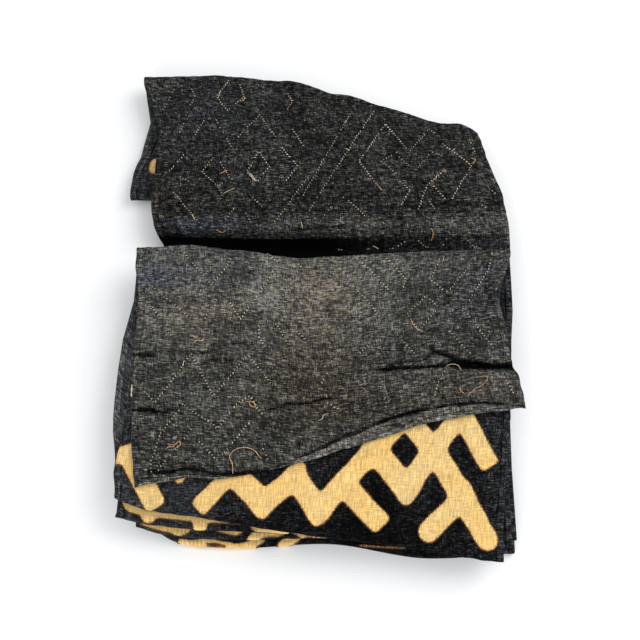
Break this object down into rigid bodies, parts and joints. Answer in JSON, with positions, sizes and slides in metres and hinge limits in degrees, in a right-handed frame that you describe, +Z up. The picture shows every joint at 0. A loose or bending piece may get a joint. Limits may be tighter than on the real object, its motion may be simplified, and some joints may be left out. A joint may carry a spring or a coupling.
{
  "type": "folded kuba cloth runner",
  "caption": "Long black raffia cloth with tan zigzag patchwork, folded back and forth into a loose pile that lies on a surface.",
  "frame": {"origin": "middle of the pile's footprint, on the surface that it lies on", "axes": "+X along the folds, +Y from the patched front folds to the rear pile, +Z up"},
  "size_m": [0.665, 0.8844, 0.074],
  "materials": {
    "black_raffia": "black-dyed plain-weave raffia, matt, with tan raffia patches sewn on the face"
  },
  "bodies": {
    "root": {"kuba_cloth": "black_raffia"}
  },
  "joints": []
}
